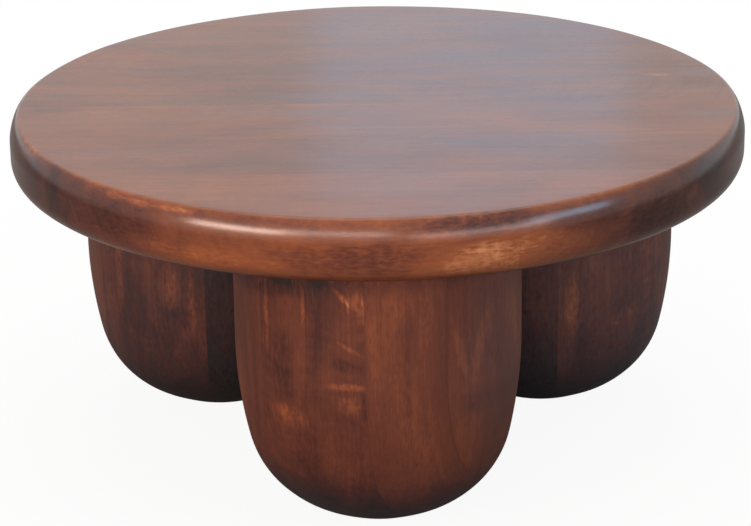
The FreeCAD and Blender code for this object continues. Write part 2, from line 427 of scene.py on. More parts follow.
def figure_group():
    """A soft-edged patch, ragged along the fibres, for figure in the wood and for painted shade, highlights and
    sheen.
    """
    inputs = {**dict.fromkeys(("Place", "Middle", "Half Size", "Tilt"), "Vector"), "Strength": "Float",
              "Raggedness": "Float"}
    group = new_group("Figure mark", "ShaderNodeTree", inputs, {"Amount": "Float"})
    given = add(group, "NodeGroupInput").outputs
    local = add(group, "Mapping", {
        "Vector": given["Place"], "Location": given["Middle"],
        "Rotation": given["Tilt"], "Scale": given["Half Size"]}, vector_type="TEXTURE")
    flat = add(group, "VectorMath", [local, (1.0, 0.0, 1.0)], "MULTIPLY")
    distance = add(group, "VectorMath", [flat], "LENGTH")

    # The edge frays in tufts 3 mm wide and 22 mm long. Shares of the half size: full up to 0.3, none from 1.15.
    fray = add_stretched_noise(group, given["Place"], (330.0, 330.0, 45.0), {"Detail": 3.0})
    frayed = add(group, "Math", [fray, 0.5], "SUBTRACT")
    edge = add(group, "Math", [frayed, given["Raggedness"], distance.outputs["Value"]], "MULTIPLY_ADD")
    mask = add(group, "MapRange", {
        "Value": edge, "From Min": 0.3, "From Max": 1.15, "To Min": 1.0, "To Max": 0.0},
        interpolation_type="SMOOTHSTEP")

    # Uneven within, in spots 4 mm wide and 8 mm long
    spots = add_stretched_noise(group, given["Place"], (260.0, 260.0, 120.0), {"Detail": 3.0})
    thinned = add(group, "MapRange", {
        "Value": spots, "From Min": 0.32, "From Max": 0.6, "To Min": 0.4, "To Max": 1.15})
    uneven = add(group, "Math", [mask, thinned], "MULTIPLY")
    amount = add(group, "Math", [uneven, given["Strength"]], "MULTIPLY")
    add(group, "NodeGroupOutput", {"Amount": amount})


def wood_group(settings):
    """Builds the node group that all boards share: solid wood with its grain along Z."""
    names = ("Seed", "Tone", "Figure", "Contrast", "Glue Low", "Glue High", "Marks", "Bloom")
    inputs = {"Place": "Vector", "Along": "Vector", "Pith": "Vector", **dict.fromkeys(names, "Float")}
    outputs = {"Colour": "Color", "Height": "Float", "Blotch": "Float"}
    group = new_group("Stained mango wood", "ShaderNodeTree", inputs, outputs)
    given = add(group, "NodeGroupInput").outputs
    place = given["Place"]

    # Each board shows another part of the patterns, as its seed says
    seed_step = (0.73, 0.41, 1.27)
    step = add(group, "VectorMath", {0: seed_step, "Scale": given["Seed"]}, "SCALE")
    moved = add(group, "VectorMath", [place, step])

    # Rings round the pith, which wander by up to 45 mm, slowly, as the trunk did
    wandering = 90 * MM
    wander = add_stretched_noise(group, moved, (6.0, 6.0, 1.6), {"Detail": 2.0})
    centred = add(group, "VectorMath", [wander.outputs["Color"], (0.5, 0.5, 0.5)], "SUBTRACT")
    drift = add(group, "VectorMath", {0: centred, "Scale": wandering}, "SCALE")
    bent = add(group, "VectorMath", [place, drift])
    flat = add(group, "VectorMath", [bent, (1.0, 1.0, 0.0)], "MULTIPLY")
    radius = add(group, "VectorMath", [flat, given["Pith"]], "DISTANCE")
    ring_number = add(group, "Math", [radius.outputs["Value"], settings.ring_spacing], "DIVIDE")
    rings = add(group, "TexNoise", {
        "W": ring_number, "Scale": 1.0, "Detail": 2.5, "Roughness": 0.6}, noise_dimensions="1D")

    # Fine fibres, 55 times as long as wide. Real ones are near 0.2 mm wide, drawn coarser so that they show.
    across = 1 / settings.fibre_width
    fibres = add_stretched_noise(group, moved, (across, across, across / 55), {"Detail": 4.0})

    # Open pores, as short dashes
    pore_pitch = 2.2 * MM
    dashed = add(group, "VectorMath", [moved, (1 / pore_pitch, 1 / pore_pitch, 1 / settings.pore_length)], "MULTIPLY")
    pores = add(group, "TexVoronoi", {"Vector": dashed, "Scale": 1.0})
    pore = add(group, "MapRange", {
        "Value": pores.outputs["Distance"], "From Min": 0.08, "From Max": 0.34, "To Min": 1.0, "To Max": 0.0})

    # Blotches about 60 mm wide and 140 mm long, where the wood took the stain unevenly
    blotches = add_stretched_noise(group, moved, (17.0, 17.0, 7.0), {"Detail": 3.0, "Distortion": 0.5})

    # Flecks 4 mm wide and 11 mm long
    flecks = add_stretched_noise(group, moved, (230.0, 230.0, 90.0), {"Detail": 2.0})

    # Curly figure, as waves that cross the grain 21 mm apart, only where the wandering noise lets them through
    curl = add_stretched_noise(group, bent, (14.0, 14.0, 48.0), {"Detail": 2.0, "Distortion": 1.4})
    curl_area = add(group, "MapRange", {"Value": wander, "From Min": 0.42, "From Max": 0.6})
    curl_level = add(group, "Math", [curl, 0.5], "SUBTRACT")
    curl_part = add(group, "Math", [curl_level, curl_area], "MULTIPLY")
    curl_share = add(group, "Math", [curl_part, given["Figure"]], "MULTIPLY")

    # End grain drinks more stain. Its darkening is set deep enough that it also paints shade on the domes of the
    # feet, which face the floor.
    geometry = add(group, "NewGeometry")
    facing = add(group, "VectorMath", [geometry.outputs["Normal"], given["Along"]], "DOT_PRODUCT")
    facing_size = add(group, "Math", [facing.outputs["Value"]], "ABSOLUTE")
    end_grain = add(group, "MapRange", {
        "Value": facing_size, "From Min": 0.25, "From Max": 0.9}, interpolation_type="SMOOTHSTEP")

    # The tone, from 0 for the darkest stain to 1 for the palest wood. Each pattern has its weight and its own middle.
    end_grain_and_shade_depth = 0.36
    shares = ((rings, 0.30, 0.5), (fibres, 0.28, 0.5), (blotches, 0.80, 0.5), (flecks, 0.26, 0.5), (pore, -0.10, 0.0))
    grain = curl_share
    for source, weight, middle in shares:
        part = add(group, "Math", [source, weight, -weight * middle], "MULTIPLY_ADD")
        grain = add(group, "Math", [grain, part])
    tone = add(group, "Math", [grain, given["Contrast"], given["Tone"]], "MULTIPLY_ADD")
    soaked = add(group, "Math", [end_grain, -end_grain_and_shade_depth, tone], "MULTIPLY_ADD")
    marked = add(group, "Math", [soaked, given["Marks"]])
    ramp = add(group, "ValToRGB", {"Fac": marked})
    colours = (settings.darkest, settings.dark, settings.middle, settings.light, settings.palest)
    stops = [number / (len(colours) - 1) for number in range(len(colours))]
    for stop in stops[1:-1]:
        ramp.color_ramp.elements.new(stop)
    for element, stop, colour in zip(ramp.color_ramp.elements, stops, colours):
        element.position = stop
        element.color = (*colour, 1.0)

    # A thin dark line on both glued faces
    line_strength = 0.16
    split = add(group, "SeparateXYZ", [place])
    gaps = []
    for name in ("Glue Low", "Glue High"):
        apart = add(group, "Math", [split.outputs["X"], given[name]], "SUBTRACT")
        gaps.append(add(group, "Math", [apart], "ABSOLUTE"))
    nearest = add(group, "Math", gaps, "MINIMUM")
    line = add(group, "MapRange", {
        "Value": nearest, "From Min": 0.0, "From Max": settings.glue_line, "To Min": line_strength, "To Max": 0.0})
    # Painted sheen: a cool grey mixed over the wood colour where the marks ask for it, standing in for a reflection
    sheen_painted = add(group, "Mix", {0: given["Bloom"], 6: ramp, 7: (*settings.bloom, 1.0)}, data_type="RGBA")
    shaded = add(group, "Mix", {0: line, 6: sheen_painted.outputs[2], 7: (*settings.darkest, 1.0)}, data_type="RGBA")

    # Relief in the lacquer: pores sink and fibres stand a few hundredths of a millimetre
    pore_depth = 0.04 * MM
    fibre_height = 0.05 * MM
    pore_relief = add(group, "Math", [pore, -pore_depth], "MULTIPLY")
    height = add(group, "Math", [fibres, fibre_height, pore_relief], "MULTIPLY_ADD")
    add(group, "NodeGroupOutput", {"Colour": shaded.outputs[2], "Height": height, "Blotch": blotches})


def add_marks(tree, place, marks):
    """Adds up single marks of figure, painted shade, highlight and sheen, each given as the comment on MARKS says."""
    total = 0.0
    for across, along, half_width, half_length, tilt, strength, raggedness in marks:
        mark = add(tree, "Group", {
            "Place": place, "Middle": (across * MM, 0.0, along * MM),
            "Half Size": (half_width * MM, 1.0, half_length * MM), "Tilt": (0.0, math.radians(tilt), 0.0),
            "Strength": strength, "Raggedness": raggedness}, node_tree=bpy.data.node_groups["Figure mark"])
        total = add(tree, "Math", [total, mark])
    return total


def rim_group(face_radius):
    """The figure, painted shade, highlights and sheen of the top's rounded edge, unrolled: heights across, and the
    way round it along.
    """
    group = new_group("Rim figure", "ShaderNodeTree", {}, {"Marks": "Float", "Bloom": "Float"})
    place = add(group, "TexCoord").outputs["Object"]
    parts = add(group, "SeparateXYZ", [place])
    flat = add(group, "VectorMath", [place, (1.0, 1.0, 0.0)], "MULTIPLY")
    distance = add(group, "VectorMath", [flat], "LENGTH")
    forward = add(group, "Math", [parts.outputs["Y"], -1.0], "MULTIPLY")
    angle = add(group, "Math", [parts.outputs["X"], forward], "ARCTAN2")
    arc = add(group, "Math", [angle, TOP_RADIUS], "MULTIPLY")
    unrolled = add(group, "CombineXYZ", {"X": parts.outputs["Z"], "Z": arc})

    # It fades in over the 5 mm where the flat face turns into the lip
    outside = add(group, "MapRange", {
        "Value": distance.outputs["Value"], "From Min": face_radius - 2 * MM, "From Max": face_radius + 3 * MM},
        interpolation_type="SMOOTHSTEP")

    # Handling and sanding rubbed the stain thin in patches 50 mm across, which crumble into bits of 4 mm
    patches = add(group, "TexNoise", {"Vector": place, "Scale": 20.0, "Detail": 4.0})
    patchy = add(group, "MapRange", {"Value": patches, "From Min": 0.47, "From Max": 0.68})
    crumbs = add(group, "TexNoise", {"Vector": place, "Scale": 260.0, "Detail": 2.0})
    crumbly = add(group, "MapRange", {
        "Value": crumbs, "From Min": 0.35, "From Max": 0.62, "To Min": 0.35, "To Max": 1.0})

    # The rubbed bands, on the lip and on the turn below the rim: the depths below the top face at which each starts
    # and is full, and its strength
    worn = 0.0
    for start, full, strength in ((13 * MM, 5 * MM, 0.14), (38 * MM, 48 * MM, 0.10)):
        band = add(group, "MapRange", {
            "Value": parts.outputs["Z"], "From Min": TABLE_HEIGHT - start, "From Max": TABLE_HEIGHT - full,
            "To Max": strength}, interpolation_type="SMOOTHSTEP")
        worn = add(group, "Math", [worn, band])
    for mask in (patchy, crumbly):
        worn = add(group, "Math", [worn, mask], "MULTIPLY")

    outputs = {}
    for name, marks, start in (("Marks", RIM_MARKS, worn), ("Bloom", RIM_PAINTED_SHEEN, 0.0)):
        drawn = add_marks(group, unrolled, marks)
        total = add(group, "Math", [drawn, start])
        outputs[name] = add(group, "Math", [total, outside], "MULTIPLY")
    add(group, "NodeGroupOutput", outputs)
    return group


def stained_wood(name, directions, centre, planes, wood, seed, lacquer, rim=None):
    """Mango wood, planed, turned and sanded, wiped with walnut stain and sprayed with satin lacquer.

    The eye sees reddish brown streaks along the grain, blotches where the stain took unevenly, darker end
    grain, and the white surroundings as a soft sheen at flat angles.
    """
    material = bpy.data.materials.new(f"Walnut-stained mango wood {name}")
    tree = empty_tree(material)
    place = add(tree, "Mapping", {
        "Vector": add(tree, "TexCoord").outputs["Object"], "Location": centre, "Rotation": directions.to_euler()},
        vector_type="TEXTURE")
    # Marks add figure, and also paint shade, highlights and a cool sheen into the colour
    marks = add_marks(tree, place, wood.get("marks", ()))
    bloom = add_marks(tree, place, wood.get("bloom", ()))
    if rim:
        edge = add(tree, "Group", node_tree=rim)
        marks = add(tree, "Math", [marks, edge.outputs["Marks"]])
        bloom = add(tree, "Math", [bloom, edge.outputs["Bloom"]])
    board = add(tree, "Group", {
        "Place": place, "Along": directions.col[2], "Pith": (*wood["pith"], 0.0), "Seed": seed,
        "Tone": wood["tone"], "Figure": wood["figure"], "Contrast": wood["contrast"], "Glue Low": planes[0],
        "Glue High": planes[1], "Marks": marks, "Bloom": bloom},
        node_tree=bpy.data.node_groups["Stained mango wood"])
    bump = add(tree, "Bump", {"Height": board.outputs["Height"], "Strength": 1.0, "Distance": lacquer["relief"]})
    spread = 0.12
    smoothest = lacquer["roughness"] - spread / 2
    roughness = add(tree, "Math", [board.outputs["Blotch"], spread, smoothest], "MULTIPLY_ADD")
    shader = add(tree, "BsdfPrincipled", {
        "Base Color": board.outputs["Colour"], "Roughness": roughness, "Normal": bump, "IOR": lacquer["ior"]})
    add(tree, "OutputMaterial", {"Surface": shader})
    return material


# Figure of single boards: millimetres across and along the grain from the board's own axis, half width, half
# length, tilt in degrees, strength (pale above nought, dark below it) and raggedness
MARKS = {
    "leg_front_stave_2": (
        (-100, 240, 14, 70, 0, -0.05, 1.0),
        (-62, 170, 5, 60, 0, -0.07, 1.0),
    ),
    "leg_front_stave_3": (
        (-40, 252, 4, 44, 0, 0.24, 0.7),
        (9, 268, 3.5, 26, 0, 0.24, 0.7),
        # Painted shade: darker at the head, under the top
        (-18, 298, 16, 9, 0, -0.30, 0.6),
        (-10, 272, 20, 12, 0, 0.12, 1.0),
        (-18, 206, 16, 52, 0, -0.14, 0.8),
        (-12, 148, 36, 15, 0, 0.20, 1.2),
        (-20, 152, 7, 12, 0, 0.12, 1.0),
        (-7, 120, 18, 16, 0, 0.04, 1.0),
    ),
    "leg_front_stave_4": (
        # Painted shade: darker at the head, under the top
        (25, 300, 11, 7, 0, -0.34, 0.6),
        (65, 282, 15, 15, 0, 0.24, 1.2),
        (70, 272, 7, 18, 0, 0.14, 1.2),
        (50, 286, 3.5, 15, -41, 0.30, 0.7),
        (57, 231, 3.0, 18, -60, 0.20, 0.8),
        (52, 212, 20, 9, 12, -0.12, 0.8),
        (54, 190, 26, 5, 0, 0.24, 1.0),
        (56, 170, 17, 14, 0, 0.20, 1.4),
        (69, 168, 4, 20, 0, -0.16, 0.6),
        (30, 240, 14, 30, 0, -0.06, 0.8),
        (30, 105, 14, 34, 0, 0.08, 1.0),
    ),
    "leg_front_stave_5": (
        (78, 220, 7, 100, 0, 0.08, 1.0),
        (100, 280, 16, 34, 0, 0.10, 1.0),
        (98, 180, 14, 60, 0, -0.06, 1.0),
        (105, 200, 2.5, 110, 0, -0.08, 1.0),
        (118, 270, 6, 60, 0, 0.08, 1.0),
    ),
    "leg_front_stave_6": (
        (127, 180, 5, 40, 0, 0.10, 1.0),
        (137, 224, 2.5, 46, -7, 0.10, 1.0),
        (146, 224, 2.5, 46, 3, 0.12, 1.0),
        (143, 160, 8, 18, 0, -0.08, 1.0),
    ),
    "leg_rear_left_stave_2": (
        (-105, 190, 5, 70, 0, 0.20, 0.8),
        (-84, 145, 24, 66, 0, -0.10, 1.0),
    ),
    "leg_rear_left_stave_3": (
        (-46, 177, 15, 30, 0, 0.26, 1.0),
        (-23, 156, 6, 46, 0, 0.22, 1.0),
        (-30, 124, 8, 11, 0, 0.14, 1.0),
        (-46, 146, 14, 7, 0, -0.08, 0.8),
        (-10, 190, 10, 60, 0, -0.06, 1.0),
    ),
    "leg_rear_right_stave_4": (
        (29, 150, 11, 52, 0, 0.24, 1.0),
    ),
    "leg_rear_right_stave_5": (
        (82, 150, 19, 24, 0, -0.12, 0.8),
        (76, 121, 14, 4, 0, 0.16, 1.0),
        (96, 128, 14, 4, 65, 0.14, 1.0),
        (116, 176, 9, 50, 0, 0.10, 1.0),
    ),
}

# Satin lacquer: several coats on the top, which fill the pores and flow out smooth, and a thin one on the legs
TOP_LACQUER = {"ior": 1.40, "roughness": 0.19, "relief": 0.2}
LEG_LACQUER = {"ior": 1.33, "roughness": 0.56, "relief": 1.0}

# For each top board, front to rear: its pith across and below it, its tone, its curly figure and contrast, and
# its marks and painted sheen, given as the comment on MARKS says. The front boards are toned lighter than the
# rear ones: painted light, the front of the top lighter where more light falls. The broad pale mark at the left
# end of each board paints a warmer reflection there, and the painted sheen is a cool reflection of the surroundings.
TOP_WOOD = {
    "top_board_1": {
        "pith": (0.03, -0.16), "tone": 0.65, "figure": 0.3, "contrast": 0.46,
        "marks": ((-285, -130, 60, 190, 0, 0.05, 1.2),),
        "bloom": ((-304, -4, 14, 150, 0, 0.12, 1.6),)},
    "top_board_2": {
        "pith": (-0.05, 0.14), "tone": 0.60, "figure": 0.2, "contrast": 0.46,
        "marks": ((-190, -330, 60, 160, 0, 0.05, 1.2), (-135, -20, 10, 190, 0, -0.05, 1.4)),
        "bloom": ((-176, -236, 18, 150, 0, 0.12, 1.6), (-148, 160, 20, 180, 0, 0.16, 1.6))},
    "top_board_3": {
        "pith": (0.06, -0.12), "tone": 0.62, "figure": 0.3, "contrast": 0.46,
        "marks": ((-60, -330, 60, 150, 0, 0.04, 1.2), (-96, 32, 5, 150, 0, 0.07, 1.4),
                  (-24, -362, 12, 40, 0, -0.10, 1.2), (-128, 354, 6, 12, 0, 0.2, 1.0)),
        "bloom": ((-44, -36, 14, 150, 0, 0.22, 1.6), (-36, 190, 16, 120, 0, 0.18, 1.6),
                  (-60, 362, 24, 50, 0, 0.3, 1.4))},
    "top_board_4": {
        "pith": (-0.04, -0.10), "tone": 0.57, "figure": 0.4, "contrast": 0.46,
        "marks": ((40, -330, 60, 150, 0, 0.04, 1.2),),
        "bloom": ((20, -56, 24, 110, 0, 0.2, 1.6), (20, 160, 30, 200, 0, 0.12, 1.6))},
    "top_board_5": {
        "pith": (0.08, 0.18), "tone": 0.55, "figure": 0.2, "contrast": 0.46,
        "marks": ((150, -280, 80, 150, 0, 0.04, 1.2), (84, 312, 6, 18, 0, 0.2, 1.0)),
        "bloom": ((88, 168, 9, 90, 0, 0.3, 1.4), (92, 362, 20, 40, 0, 0.3, 1.4),
                  (160, 100, 60, 220, 0, 0.12, 1.6))},
    "top_board_6": {
        "pith": (-0.02, -0.15), "tone": 0.57, "figure": 0.3, "contrast": 0.46,
        "marks": ((300, -180, 60, 150, 0, 0.03, 1.2),),
        "bloom": ((300, 80, 60, 200, 0, 0.12, 1.6),)},
}

# Marks on the top's rounded edge: height and the way round from the front, to the right, in millimetres, then as
# the comment on MARKS says. Some of them are painted shade and painted highlights, as noted, and the single
# sheen mark is a painted cool reflection.
RIM_MARKS = (
    # Painted shade: the lip darker across the front, where the ceiling and the left window light it
    (372, -30, 9, 300, 0, -0.10, 1.0),
    # Painted shade: the next two darken the left end of the rim, standing in for dim surroundings mirrored there
    (350, -395, 38, 18, 0, -0.20, 0.4),
    (350, -440, 38, 26, 0, -0.08, 0.8),
    # Painted highlight: a pale line along the lip at the left end
    (376, -470, 5, 60, 0, 0.20, 1.2),
    (350, -285, 30, 60, 0, -0.13, 1.0),
    (336, -245, 10, 34, 0, 0.12, 1.4),
    # Painted highlights: the next three are pale flecks on the lip, left of the window's highlight
    (374, -292, 5, 16, 0, 0.26, 1.6),
    (374, -256, 5, 18, 0, 0.30, 1.6),
    (375, -212, 4, 26, 0, 0.26, 1.6),
    (333, -170, 12, 50, 0, 0.12, 1.4),
    (340, -60, 16, 70, 0, -0.13, 1.2),
    (342, 10, 20, 60, 0, -0.14, 1.4),
    (371, 108, 12, 64, 0, -0.30, 0.8),
    (362, 230, 18, 80, 0, -0.08, 1.0),
    (348, 104, 7, 24, 0, 0.10, 1.0),
    (335, 96, 18, 60, 0, 0.13, 1.0),
    (348, 150, 12, 60, 5, 0.13, 1.4),
    (342, 200, 16, 60, 0, 0.06, 1.2),
    (342, 310, 28, 56, 0, -0.20, 0.8),
    (345, 262, 8, 16, 0, 0.10, 1.4),
    (355, 268, 3, 9, 20, 0.16, 1.4),
    (353, 299, 3, 6, -20, 0.10, 1.4),
    (354, 326, 3, 11, 12, 0.12, 1.4),
    (350, 378, 8, 16, 30, 0.16, 1.4),
    (359, 410, 18, 50, 0, -0.10, 0.8),
    (355, 482, 20, 36, 0, 0.12, 1.0),
)
# Painted sheen: a cool reflection on the rim towards the right end
RIM_PAINTED_SHEEN = ((368, 430, 14, 60, 0, 0.25, 0.8),)

# For each leg, stave by stave: tone, curly figure and contrast
LEG_WOOD = {
    "front": ((0.46, 0.2, 0.7), (0.39, 0.4, 0.6), (0.39, 0.6, 0.7), (0.37, 0.5, 0.6), (0.49, 0.2, 0.5),
              (0.48, 0.2, 0.5)),
    # The fourth rear left stave is toned dark: painted shade, where the front leg shades it
    "rear_left": ((0.44, 0.2, 0.8), (0.33, 0.3, 0.8), (0.33, 0.6, 0.8), (0.10, 0.4, 0.6), (0.30, 0.2, 0.8),
                  (0.42, 0.2, 0.8)),
    "rear_right": ((0.42, 0.2, 0.8), (0.38, 0.3, 0.8), (0.34, 0.6, 0.8), (0.50, 0.5, 0.8), (0.43, 0.5, 0.8),
                   (0.43, 0.2, 0.8)),
}

# Painted shade and painted sheen across a whole leg: darker under the top, where it shades the head, and on the
# dome, which faces the floor; and a cool sheen on the front leg's foot and two edges, and over each rear leg
LEG_PAINTED_SHADE = {
    "front": ((-75, 298, 120, 34, 0, -0.26, 0.8), (0, 306, 400, 20, 0, -0.14, 0.8), (0, 30, 400, 75, 0, -0.13, 0.6)),
    "rear_left": ((0, 308, 400, 26, 0, -0.10, 0.8), (0, 50, 400, 75, 0, -0.15, 0.6)),
    "rear_right": ((0, 50, 400, 80, 0, -0.20, 0.6),),
}
LEG_PAINTED_SHEEN = {
    "front": ((0, 0, 400, 90, 0, 0.14, 0.6), (-150, 180, 26, 160, 0, 0.14, 0.8), (160, 200, 26, 200, 0, 0.16, 0.8)),
    "rear_left": ((0, 150, 400, 400, 0, 0.14, 0.6),),
    "rear_right": ((0, 150, 400, 400, 0, 0.22, 0.6),),
}


def by_input_name(sizes):
    """The settings of a shape, under the names of the inputs that its turning tree has for them."""
    return {name.replace("_", " ").title(): getattr(sizes, name) for name in sizes.__annotations__}


def glue_planes(names, across, shift, reach):
    """Where a row of boards is glued, as pairs of distances across. The outermost reach past the blank."""
    rows = []
    for name in names:
        spans = [vertex.co.dot(across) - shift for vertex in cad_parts[name].data.vertices]
        rows.append([min(spans), max(spans)])
    spare = 10 * MM
    rows[0][0] = -reach - spare
    rows[-1][1] = reach + spare
    return rows


def prepare_wood(context):
    """Makes the node groups that all wood shares, once."""
    if "Stained mango wood" not in bpy.data.node_groups:
        figure_group()
        wood_group(context.scene.table_wood)


class TABLE_OT_top(bpy.types.Operator):
    """Turns and finishes the boards of the round top"""

    bl_idname = "table.top"
    bl_label = "Round top"

    def execute(self, context):
        prepare_wood(context)
        sizes = context.scene.table_top
        seed_step = 1.7
        dish_size = 130 * MM
        flat_band = 2 * MM
        lip, lower = sizes.lip_turn, sizes.lower_turn
        rim_turn = math.pi / 2 - lip - sizes.brow_turn - sizes.side_turn
        arcs = ((sizes.lip_radius, lip), (sizes.brow_radius, sizes.brow_turn),
                (sizes.side_radius, sizes.side_turn), (sizes.rim_radius, rim_turn))
        heading = edge_width = upper_drop = 0.0
        for radius, turn in arcs:
            edge_width += radius * (math.sin(heading + turn) - math.sin(heading))
            upper_drop += radius * (math.cos(heading) - math.cos(heading + turn))
            heading += turn
        lower_drop = sizes.lower_radius * math.sin(lower) + sizes.belly_radius * (1 - math.sin(lower))
        thickness = TABLE_HEIGHT - UNDERSIDE
        mid_height = UNDERSIDE + thickness / 2
        face_radius = TOP_RADIUS - edge_width
        values = {
            **by_input_name(sizes), "Centre": (0.0, 0.0, 0.0), "Plane Turn": math.radians(TOP_TURN),
            "Head Height": TABLE_HEIGHT, "Face Radius": face_radius, "Rim Turn": rim_turn,
            "Rim Height": thickness - upper_drop - lower_drop, "Belly Turn": math.pi / 2 - lower,
            "Core Radius": TOP_RADIUS - thickness / 2, "Core Low": mid_height, "Core High": mid_height,
            "Dish Size": dish_size, "Level Below": UNDERSIDE + flat_band,
        }
        tree = turning_tree("Round top", TOP_OUTLINE)
        planes = glue_planes(TOP_BOARDS, Vector((0, 1, 0)), 0.0, TOP_RADIUS)
        middle = Vector((0.0, 0.0, mid_height))
        rim = rim_group(face_radius)
        for number, (name, pair) in enumerate(zip(TOP_BOARDS, planes), start=1):
            seed = number * seed_step
            material = stained_wood(name, TOP_DIRECTIONS, middle, pair, TOP_WOOD[name], seed, TOP_LACQUER, rim)
            make_board(tree, {**values, "Material": material, "Low Plane": pair[0], "High Plane": pair[1]}, name)
        return {"FINISHED"}


class TABLE_OT_legs(bpy.types.Operator):
    """Turns and finishes the staves of the three legs"""

    bl_idname = "table.legs"
    bl_label = "Turned legs"

    def execute(self, context):
        prepare_wood(context)
        sizes = context.scene.table_legs
        dish_size = 120 * MM
        flat_foot = 10 * MM
        first_seed, leg_step, stave_step = 20, 7, 1.3

        # The pith lies 112 to 172 mm out, to the left and to the right in turn, and up to 30 mm to the front or rear
        pith_out, pith_step, pith_sway, sway_rate = 0.10, 0.012, 0.03, 2.1

        after_curve = math.pi / 2 + sizes.curve_turn
        after_shoulder = after_curve + sizes.shoulder_turn
        drop = (sizes.curve_radius * -math.cos(after_curve)
                + sizes.shoulder_radius * (math.cos(after_curve) - math.cos(after_shoulder)))
        slope = math.pi - after_shoulder
        edge_length = sizes.foot_edge * math.tan(slope / 2)
        cone_length = (sizes.straight_end - drop - GLIDE_TOP) / math.sin(slope) - edge_length
        values = {
            **by_input_name(sizes), "Head Height": UNDERSIDE, "Head Radius": sizes.radius,
            "Straight Length": UNDERSIDE - sizes.straight_end, "Cone Length": cone_length,
            "Foot Edge Radius": sizes.foot_edge, "Foot Edge Turn": slope, "Core Radius": 0.0,
            "Core Low": sizes.radius, "Core High": 1.0, "Dish Size": dish_size, "Level Below": flat_foot,
        }
        tree = turning_tree("Turned leg", LEG_OUTLINE)
        for leg_number, leg in enumerate(LEG_NAMES):
            low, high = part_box(f"glide_{leg}")
            centre = Vector(((low.x + high.x) / 2, (low.y + high.y) / 2, 0.0))
            turn = math.radians(LEG_TURNS[leg])
            directions = Matrix.Rotation(turn, 3, "Z")
            across = directions.col[0]
            names = [f"leg_{leg}_stave_{number}" for number in range(1, 7)]
            planes = glue_planes(names, across, centre.dot(across), sizes.radius)
            for stave, (name, pair) in enumerate(zip(names, planes), start=1):
                seed = first_seed + leg_number * leg_step + stave * stave_step
                side = -1 if stave % 2 else 1
                tone, figure, contrast = LEG_WOOD[leg][stave - 1]
                pith = (side * (pith_out + pith_step * stave), pith_sway * math.sin(seed * sway_rate))
                wood = {"pith": pith, "tone": tone, "figure": figure, "contrast": contrast,
                        "marks": MARKS.get(name, ()) + LEG_PAINTED_SHADE[leg], "bloom": LEG_PAINTED_SHEEN[leg]}
                material = stained_wood(name, directions, centre, pair, wood, seed, LEG_LACQUER)
                board = {**values, "Centre": centre, "Plane Turn": turn, "Material": material,
                         "Low Plane": pair[0], "High Plane": pair[1]}
                make_board(tree, board, name)
        return {"FINISHED"}


class TABLE_OT_hardware(bpy.types.Operator):
    """Finishes the glides, screws, bolts and inserts"""

    bl_idname = "table.hardware"
    bl_label = "Glides and fasteners"

    def execute(self, context):
        plastic = glide_plastic()
        steel = zinc_steel()
        for names, material in ((GLIDES, plastic), (STEEL_PARTS, steel)):
            for name in names:
                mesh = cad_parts[name].data
                mesh.materials.clear()
                mesh.materials.append(material)
        return {"FINISHED"}


def glide_plastic():
    """Moulded black polypropylene: a soft sheen, with the fine grain of a spark-eroded mould."""
    material = bpy.data.materials.new("Moulded black polypropylene")
    tree = empty_tree(material)
    place = add(tree, "TexCoord").outputs["Object"]
    grain = add(tree, "TexNoise", {"Vector": place, "Scale": 1 / (0.9 * MM), "Detail": 2.0})
    scuffs = add(tree, "TexNoise", {"Vector": place, "Scale": 60.0, "Detail": 4.0})
    colour = add(tree, "Mix", {
        0: scuffs, 6: (*linear("#17161A"), 1.0), 7: (*linear("#2B2A2C"), 1.0)}, data_type="RGBA")
    roughness = add(tree, "MapRange", {"Value": scuffs, **NOISE_SPAN, "To Min": 0.42, "To Max": 0.6})
    bump = add(tree, "Bump", {"Height": grain, "Strength": 1.0, "Distance": 0.06 * MM})
    shader = add(tree, "BsdfPrincipled", {
        "Base Color": colour.outputs[2], "Roughness": roughness, "Normal": bump, "IOR": 1.49})
    add(tree, "OutputMaterial", {"Surface": shader})
    return material


def zinc_steel():
    """Zinc-plated steel: pale grey metal, a little mottled where the plating passivated."""
    material = bpy.data.materials.new("Zinc-plated steel")
    tree = empty_tree(material)
    place = add(tree, "TexCoord").outputs["Object"]
    mottle = add(tree, "TexNoise", {"Vector": place, "Scale": 1 / (3 * MM), "Detail": 3.0})
    colour = add(tree, "Mix", {
        0: mottle, 6: (*linear("#A9A9A4"), 1.0), 7: (*linear("#CFCFC8"), 1.0)}, data_type="RGBA")
    roughness = add(tree, "MapRange", {"Value": mottle, **NOISE_SPAN, "To Min": 0.28, "To Max": 0.45})
    shader = add(tree, "BsdfPrincipled", {"Base Color": colour.outputs[2], "Roughness": roughness, "Metallic": 1.0})
    add(tree, "OutputMaterial", {"Surface": shader})
    return material


WHITE = (1.0, 1.0, 1.0, 1.0)

# How far to the right of the front the camera stands, and the small turns that aim it from the centre of the top
# face to the middle of the picture, in degrees
CAMERA_AZIMUTH = 0.507
CAMERA_PAN = 0.070
CAMERA_TILT = -3.120
CAMERA_ROLL = -0.867

# Softboxes, as seen from the centre of the top face, which each of them faces: degrees to the right of the front
# and above the face, metres away, width and height in metres, watts and colour
SOFTBOXES = (
    ("Left window", (-40.0, 10.5, 3.8), (1.9, 0.44), 76.0, "#FFE3D2"),
    ("Middle window", (-11.0, 12.3, 3.6), (1.8, 0.50), 24.0, "#FFE8E0"),
    ("Right window", (30.0, 7.3, 3.6), (2.6, 0.42), 27.0, "#F0E0DE"),
    ("Far right window", (57.0, 11.8, 3.6), (1.6, 0.50), 20.0, "#B0E0FF"),
    ("Ceiling", (180.0, 80.0, 3.0), (2.6, 2.6), 33.0, "#FFFFFF"),
    ("Rear sky", (177.0, 17.5, 3.5), (0.7, 0.7), 0.9, "#66C4FF"),
)


